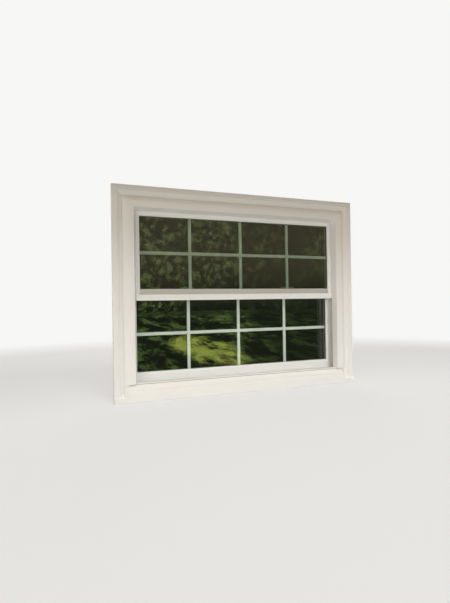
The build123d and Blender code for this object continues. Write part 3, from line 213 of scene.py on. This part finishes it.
def vinyl(name, colour, grime):
    """Weathered white vinyl: faint mottling and rain streaks, dust on what faces up, grime and painted shade
    in joints.
    """
    material, tree, shader, place = tree_of(name)
    clouds = noise(tree, place, **CLOUDS)
    streaks = noise(tree, place, **STREAKS)
    specks = noise(tree, place, **SPECKS)
    dust = multiply(
        tree, ramp(tree, facing_up(tree), *DUST_FACING), ramp(tree, clouds, *FULL_RANGE, *DUST_SHARES))
    base = blend(tree, ramp(tree, clouds, *CLOUD_RANGE), colour, scaled(colour, CLOUD_SHADE))
    # Streaks, dust and specks are grime; the crevice share is grime and painted shade, the lip share a
    # painted shadow line.
    dirt_and_shade = (
        ramp(tree, streaks, *STREAK_RANGE, 0.0, STREAK_SHARE * grime),
        multiply(tree, dust, grime),
        ramp(tree, specks, *SPECK_RANGE, 0.0, SPECK_SHARE * grime),
        multiply(tree, crevice(tree), CREVICE_SHARE * grime),
        multiply(tree, lip_shadow_and_grime(tree, place), LIP_SHARE),
    )
    for share in dirt_and_shade:
        base = blend(tree, share, base, GRIME_AND_SHADE)
    tree.links.new(base, shader.inputs["Base Color"])
    tree.links.new(ramp(tree, clouds, *FULL_RANGE, *VINYL_ROUGH), shader.inputs["Roughness"])
    shader.inputs["Specular IOR Level"].default_value = VINYL_SPECULAR
    bump(tree, shader, noise(tree, place, **VINYL_PEEL), VINYL_BUMP)
    return material


def mottled(
    name, colour, rough, clouds, shade, shade_range, rougher, grain, bumps, metallic=0.0, stretch=(1, 1, 1),
):
    """A hard finish: clouds that are darker and rougher, and a fine grain, or the clouds' own, in bumps."""
    material, tree, shader, place = tree_of(name)
    cloud = noise(tree, place, stretch=stretch, **clouds)
    base = blend(tree, ramp(tree, cloud, *shade_range), colour, scaled(colour, shade))
    tree.links.new(base, shader.inputs["Base Color"])
    tree.links.new(ramp(tree, cloud, *FULL_RANGE, rough, rough + rougher), shader.inputs["Roughness"])
    shader.inputs["Metallic"].default_value = metallic
    bump(tree, shader, noise(tree, place, **grain) if grain else cloud, bumps)
    return material


def metal(name, colour, rough, stretch=(1, 1, 1)):
    """Plain or drawn metal, with its grain along the axis of the smallest stretch."""
    return mottled(
        name, colour, rough, clouds={"scale": 180.0, "detail": 5.0, "roughness": 0.6}, shade=0.72,
        shade_range=(0.35, 0.7), rougher=0.16, grain=None, bumps=0.08, metallic=1.0, stretch=stretch)


def enamel(name, colour):
    """Painted metal: a slight orange peel and faint rubbing."""
    return mottled(
        name, colour, rough=0.28, clouds={"scale": 30.0}, shade=0.9, shade_range=(0.4, 0.75), rougher=0.14,
        grain={"scale": 700.0, "detail": 2.0}, bumps=0.05)


def plastic(name, colour, rough):
    """Moulded plastic with a fine spark-eroded grain."""
    return mottled(
        name, colour, rough, clouds={"scale": 40.0}, shade=0.85, shade_range=(0.35, 0.7), rougher=0.12,
        grain={"scale": 1100.0, "detail": 2.0}, bumps=0.12)


# Glass
FILM = {"scale": 7.0, "detail": 5.0}
FILM_RANGE = (0.4, 0.75)
FILM_SHADE = 0.93
GLASS_ROUGH_RANGE = (0.45, 0.8)
GLASS_ROUGH = (0.0, 0.006)
GLASS_IOR = 1.5
WAVES = {"scale": 2.5, "detail": 1.0}
WAVE_BUMP = 0.02


def glass(name, tint):
    """Clear or tinted window glass, with faint waves and a trace of dust."""
    material, tree, shader, place = tree_of(name)
    film = noise(tree, place, **FILM)
    base = blend(tree, ramp(tree, film, *FILM_RANGE), tint, scaled(tint, FILM_SHADE))
    tree.links.new(base, shader.inputs["Base Color"])
    tree.links.new(ramp(tree, film, *GLASS_ROUGH_RANGE, *GLASS_ROUGH), shader.inputs["Roughness"])
    shader.inputs["Transmission Weight"].default_value = 1.0
    shader.inputs["IOR"].default_value = GLASS_IOR
    bump(tree, shader, noise(tree, place, **WAVES), WAVE_BUMP)
    return material


# Brushed pile
FIBRES = {"scale": 900.0, "detail": 3.0, "roughness": 0.7}
FIBRE_RANGE = (0.35, 0.65)
FIBRE_LIGHT = 1.7
PILE_ROUGH = 0.95
PILE_SHEEN = 0.5
FIBRE_BUMP = 0.8


def pile(name, colour):
    """Brushed pile: dense short fibres that stand up from their backing."""
    material, tree, shader, place = tree_of(name)
    fibres = noise(tree, place, **FIBRES)
    base = blend(tree, ramp(tree, fibres, *FIBRE_RANGE), colour, scaled(colour, FIBRE_LIGHT))
    tree.links.new(base, shader.inputs["Base Color"])
    shader.inputs["Roughness"].default_value = PILE_ROUGH
    shader.inputs["Sheen Weight"].default_value = PILE_SHEEN
    bump(tree, shader, fibres, FIBRE_BUMP)
    return material


MATERIALS = {
    "frame_white": vinyl("frame_vinyl", (0.87, 0.86, 0.83), grime=0.12),
    "casing_white": vinyl("casing_vinyl", (0.87, 0.855, 0.82), grime=0.14),
    "sash_white": vinyl("sash_vinyl", (0.865, 0.87, 0.845), grime=0.09),
    # The bead under the upper panes is darkened to grey as painted shade.
    "bead_grey": vinyl("bead_painted_shade_vinyl", (0.56, 0.54, 0.49), grime=0.14),
    "glass_outer_upper": glass("glass_outer_upper", (0.60, 0.66, 0.56)),
    "glass_inner_upper": glass("glass_inner_upper", (0.55, 0.60, 0.52)),
    "glass_outer_lower": glass("glass_outer_lower", (0.96, 0.99, 0.95)),
    "glass_inner_lower": glass("glass_inner_lower", (0.55, 0.60, 0.52)),
    "spacer_metal": metal("spacer_metal", (0.42, 0.42, 0.40), rough=0.35),
    # The upper bars' enamel is a darker copy of the lower bars' as painted shade; the lower bars' greenish
    # tint is a painted cast of reflected foliage.
    "grille_upper": enamel("grille_enamel_upper_shaded", (0.70, 0.70, 0.67)),
    "grille_lower": enamel("grille_enamel_lower", (0.93, 0.95, 0.88)),
    "pile": pile("pile_grey", (0.16, 0.16, 0.15)),
    "shoe_plastic": plastic("shoe_plastic", (0.035, 0.035, 0.034), rough=0.45),
    "rod_steel": metal("rod_steel", (0.52, 0.51, 0.48), rough=0.28, stretch=(1, 1, 0.1)),
    "tube_white": plastic("tube_plastic", (0.70, 0.70, 0.66), rough=0.25),
    "screw_steel": metal("screw_steel", (0.55, 0.54, 0.50), rough=0.30),
    "pivot_zinc": metal("pivot_zinc", (0.45, 0.45, 0.43), rough=0.42),
    "lock_enamel": enamel("lock_enamel", (0.74, 0.72, 0.67)),
    "latch_plastic": plastic("latch_plastic", (0.72, 0.70, 0.65), rough=0.30),
}
for part in frame["record"]["subparts"]:
    piece = frame["nodes"][part["node"]]
    piece.data.materials.clear()
    piece.data.materials.append(MATERIALS[part["material_slot"]])


# Stage

CARD_ROUGH = 0.9


def card(name, half_width, first, second, colour):
    """A flat stage card between two level edges, each given by its y and z."""
    mesh = bpy.data.meshes.new(name)
    corners = ((-half_width, *first), (half_width, *first), (half_width, *second), (-half_width, *second))
    mesh.from_pydata(corners, [], [(0, 1, 2, 3)])
    thing = bpy.data.objects.new(name, mesh)
    scene.collection.objects.link(thing)
    material, tree, shader, place = tree_of(name)
    shader.inputs["Base Color"].default_value = (*colour, 1)
    shader.inputs["Roughness"].default_value = CARD_ROUGH
    shader.inputs["Specular IOR Level"].default_value = 0.0
    mesh.materials.append(material)
    return thing, tree, shader, place


def looked_at(tree):
    """One for rays from the camera, from reflections and through glass, else nothing."""
    rays = tree.nodes.new("ShaderNodeLightPath").outputs
    return either(tree, rays["Is Camera Ray"], rays["Is Glossy Ray"], rays["Is Transmission Ray"])


# The floor passes into the backdrop with its distance, so that no horizon shows.
FLOOR_GAP = 0.0005
FLOOR_Z = cad_box[0][2] - FLOOR_GAP
FLOOR_REACH = 60.0
FLOOR_COLOUR = (0.80, 0.79, 0.77)
BACKDROP = (0.93, 0.93, 0.92)
FLOOR_LIGHT = 0.60              # the floor's own glow on the object, of its glow to the eye
FLOOR_GLOW = 0.60               # the least share of glow in the floor
FLOOR_FADE = (0.8, 4.0)         # distances between which it passes into the backdrop

_, floor_tree, floor_shader, floor_place = card(
    "floor", FLOOR_REACH, (-FLOOR_REACH, FLOOR_Z), (FLOOR_REACH, FLOOR_Z), FLOOR_COLOUR)
floor_glow = linked(
    floor_tree, "ShaderNodeEmission", Color=(*BACKDROP, 1),
    Strength=ramp(floor_tree, looked_at(floor_tree), 0.0, 1.0, FLOOR_LIGHT, 1.0))
floor_far = ramp(floor_tree, measure(floor_tree, "LENGTH", floor_place), *FLOOR_FADE)
floor_share = linked(
    floor_tree, "ShaderNodeClamp", Value=multiply(floor_tree, looked_at(floor_tree), floor_far),
    Min=FLOOR_GLOW, Max=1.0)
mixed(floor_tree, floor_share.outputs[0], floor_shader, floor_glow)

# Behind the window stands a near-black card as painted shade of an unlit room, which only the light through
# its glass meets.
ROOM_Y = 0.125
ROOM_HALF_WIDTH = 5.0
ROOM_LOW, ROOM_HIGH = -2.0, 4.0
ROOM_DARK = (0.010, 0.011, 0.008)

room, *_ = card("unlit_room", ROOM_HALF_WIDTH, (ROOM_Y, ROOM_LOW), (ROOM_Y, ROOM_HIGH), ROOM_DARK)
room.visible_camera = False
room.visible_diffuse = False
room.visible_glossy = False
room.visible_shadow = False

# Before it, from the sill over a low bank to far behind the camera, dim foliage shows in reflections only.
GARDEN_HALF_WIDTH = 30.0
HEDGE_Y = -6.5
HEDGE_LOW, HEDGE_HIGH = -1.0, 14.0
BANK_TOP = (-2.8, 0.28)
BANK_LIFT = 0.002               # from the floor to the bank's foot
BANK_FOOT = (-0.35, FLOOR_Z + BANK_LIFT)
VERGE_Y = -0.05
UPRIGHT = (1, 1, 1)             # the leaves' stretch on the hedge
LYING = (1, 0.4, 1)             # and on the ground, where they are seen at a low angle
LEAVES = {"scale": 6.5, "detail": 7.0, "roughness": 0.78}
LEAF_RANGE = (0.49, 0.60)
BOUGHS = {"scale": 0.55, "detail": 3.0}
BOUGH_RANGE = (0.40, 0.60)
BOUGH_LIGHT = (0.12, 1.3)
HIGH_RANGE = (0.3, 1.3)         # heights between which the foliage turns pale and brown
BUSH = (0.22, -1.15, 0.04)      # the middle of a bright bush on the bank
BUSH_EDGE = (0.22, 0.30)        # distances from it between which it ends
BUSH_RANGE = (0.44, 0.56)
THIN_WAY = (1.0, 0.44, 0.0)     # the way in which the low leaves thin out
THIN_EDGE = (-0.05, 0.45)
THIN_SHARE = 0.30
LOW_SHADE, HIGH_SHADE = (0.06, 0.075, 0.045), (0.42, 0.37, 0.25)
LOW_LEAF, HIGH_LEAF = (0.50, 0.72, 0.22), (1.05, 1.12, 0.52)
BUSH_LEAF = (1.75, 2.00, 0.40)


def foliage(name, first, second, stretch):
    """A card of leaves in front of shade, dark and green near the ground, pale and brown higher up.

    A look straight through the window passes it, and so does the light on what lies between the panes.
    """
    thing, tree, _, place = card(name, GARDEN_HALF_WIDTH, first, second, LOW_SHADE)
    thing.visible_camera = False
    thing.visible_diffuse = False
    thing.visible_shadow = False
    leaves = noise(tree, place, stretch=stretch, **LEAVES)
    boughs = noise(tree, place, stretch=stretch, **BOUGHS)
    high = ramp(tree, linked(tree, "ShaderNodeSeparateXYZ", Vector=place).outputs["Z"], *HIGH_RANGE)
    stretched = linked(tree, "ShaderNodeMapping", Vector=place, Scale=stretch).outputs[0]
    middle = [mark * share for mark, share in zip(BUSH, stretch)]
    bush = fall(tree, measure(tree, "DISTANCE", stretched, middle), *BUSH_EDGE)
    aside = measure(tree, "DOT_PRODUCT", place, THIN_WAY)
    thick = either(tree, high, ramp(tree, aside, *THIN_EDGE, 1.0, THIN_SHARE))
    hung = multiply(tree, ramp(tree, leaves, *LEAF_RANGE), ramp(tree, boughs, *BOUGH_RANGE, *BOUGH_LIGHT))
    lit = either(tree, multiply(tree, hung, thick), multiply(tree, bush, ramp(tree, leaves, *BUSH_RANGE)))
    shade = blend(tree, high, LOW_SHADE, HIGH_SHADE)
    leaf = blend(tree, bush, blend(tree, high, LOW_LEAF, HIGH_LEAF), BUSH_LEAF)
    glow = linked(tree, "ShaderNodeEmission", Strength=1.0, Color=blend(tree, lit, shade, leaf))
    rays = tree.nodes.new("ShaderNodeLightPath").outputs
    mirrored = multiply(
        tree, ramp(tree, rays["Glossy Depth"], 0.0, 1.0), fall(tree, rays["Diffuse Depth"], 0.0, 1.0))
    mixed(tree, mirrored, tree.nodes.new("ShaderNodeBsdfTransparent"), glow)


foliage("dark_reflection", (HEDGE_Y, HEDGE_LOW), (HEDGE_Y, HEDGE_HIGH), UPRIGHT)
foliage("dark_verge", BANK_FOOT, (VERGE_Y, BANK_FOOT[1]), LYING)
foliage("dark_bank", BANK_TOP, BANK_FOOT, LYING)
foliage("dark_ground", (HEDGE_Y, BANK_TOP[1]), BANK_TOP, LYING)


# World and lamps

SKY_LIGHT = (0.21, 0.185, 0.155)
PANE_LIGHT = 2.0                # the sky's strength on the bars between the panes, which no lamp can light

world = bpy.data.worlds.new("studio")
scene.world = world
world.use_nodes = True
sky_tree = world.node_tree
background = sky_tree.nodes["Background"]
sky_tree.links.new(blend(sky_tree, looked_at(sky_tree), SKY_LIGHT, BACKDROP), background.inputs["Color"])
sky_rays = sky_tree.nodes.new("ShaderNodeLightPath").outputs
within = multiply(
    sky_tree, sky_rays["Is Transmission Ray"], ramp(sky_tree, sky_rays["Diffuse Depth"], 0.0, 1.0))
sky_tree.links.new(ramp(sky_tree, within, 0.0, 1.0, 1.0, PANE_LIGHT), background.inputs["Strength"])


def lamp(name, place, target, size, power, spread, colour):
    """A soft square lamp that shows neither in reflections nor through the glass."""
    light = bpy.data.lights.new(name, "AREA")
    light.shape = "SQUARE"
    light.size = size
    light.energy = power
    light.color = colour
    light.spread = radians(spread)
    thing = bpy.data.objects.new(name, light)
    thing.location = place
    thing.rotation_euler = (Vector(target) - Vector(place)).to_track_quat("-Z", "Y").to_euler()
    thing.visible_glossy = False
    thing.visible_transmission = False
    scene.collection.objects.link(thing)


# The lamps stand beside, over and behind the foliage that the panes mirror, and one behind the window.
WARM = (1.0, 0.93, 0.82)
COOL = (0.95, 0.98, 1.0)
WHITE = (1, 1, 1)
NARROW, WIDE = 80, 180          # spreads in degrees
LAMPS = (                       # name, place, target, size, power, spread, colour
    ("left", (-5.0, -5.8, 0.9), (0.3, 0, 0.4), 3.2, 32, NARROW, WARM),
    ("front", (1.5, -8.5, 1.3), (0, 0, 0.4), 4.0, 13, NARROW, WARM),
    ("right", (5.0, -4.0, 0.7), (0, 0, 0.3), 2.4, 3, NARROW, WARM),
    ("sky", (0.2, -5.8, 5.2), (0.0, 0, 0.2), 3.6, 78, NARROW, COOL),
    ("back", (1.5, 4.0, 2.8), (0, 0, 0.4), 3.0, 62, WIDE, WHITE),
)
for row in LAMPS:
    lamp(*row)

# An eave that no camera sees keeps the high light off the window's head, as the roof does in the photograph.
EAVE_HALF_WIDTH = 3.0
EAVE_Z = 1.30
EAVE_FRONT_Y, EAVE_BACK_Y = -1.05, 0.05
DROP_Y, DROP_Z = -0.45, 1.06
EAVE_BROWN = (0.42, 0.29, 0.16)
EAVE_CARDS = (
    ("eave", (EAVE_FRONT_Y, EAVE_Z), (EAVE_BACK_Y, EAVE_Z)),
    ("eave_drop", (DROP_Y, EAVE_Z), (DROP_Y, DROP_Z)),
)
for eave_name, eave_first, eave_second in EAVE_CARDS:
    eave, *_ = card(eave_name, EAVE_HALF_WIDTH, eave_first, eave_second, EAVE_BROWN)
    eave.visible_camera = False
    eave.visible_glossy = False
    eave.visible_transmission = False


# Camera, solved from the window's own lines in the photograph

EYE = Vector((-0.969, -2.199, 0.434))
YAW, PITCH, ROLL = radians(21.37), radians(0.21), radians(-0.88)
LENS = 26.0
SENSOR = 36.0

forward = Vector((sin(YAW) * cos(PITCH), cos(YAW) * cos(PITCH), sin(PITCH)))
level_right = forward.cross(Vector((0, 0, 1))).normalized()
level_up = level_right.cross(forward)
right = cos(ROLL) * level_right + sin(ROLL) * level_up
up = cos(ROLL) * level_up - sin(ROLL) * level_right
camera_data = bpy.data.cameras.new("camera")
camera_data.lens = LENS
camera_data.sensor_width = SENSOR
camera = bpy.data.objects.new("camera", camera_data)
camera.matrix_world = Matrix.Translation(EYE) @ Matrix((right, up, -forward)).transposed().to_4x4()
scene.collection.objects.link(camera)
scene.camera = camera
